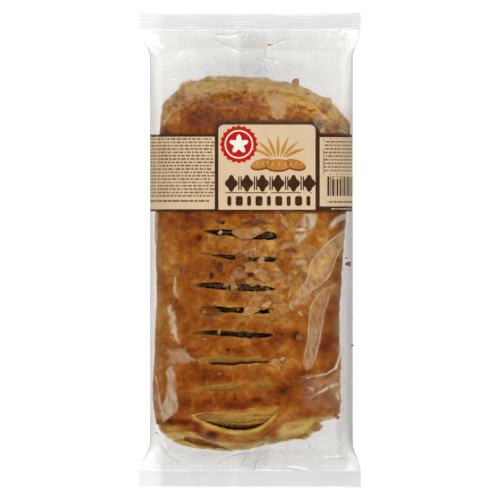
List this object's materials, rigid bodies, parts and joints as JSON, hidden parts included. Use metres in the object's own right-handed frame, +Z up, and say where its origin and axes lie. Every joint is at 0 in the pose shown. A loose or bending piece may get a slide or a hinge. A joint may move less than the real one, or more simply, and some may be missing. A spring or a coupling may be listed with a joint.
{
  "type": "wrapped bear claw pastry",
  "caption": "Bear claw pastry sealed in a clear flow-wrap pack with a printed band and flat crimped ends, lying label up.",
  "frame": {"origin": "middle of the pack's box, on the surface that it lies on", "axes": "+Z up out of the label side, +Y along the pack towards the end seal above the label, X across the pack"},
  "size_m": [0.1, 0.214, 0.0264],
  "materials": {
    "clear_film": "glossy clear film drawn tight over the browned pastry inside",
    "baked_crust": "egg-washed, browned laminated dough, satin",
    "pale_dough": "pale cut edges of the dough, matt",
    "dark_filling": "dark almond filling, moist",
    "almond": "toasted sliced almond, satin",
    "printed_band": "printed film, tan fields with dark brown borders, glossy"
  },
  "bodies": {
    "root": {"wrapped_bear_claw": "clear_film"}
  },
  "joints": []
}
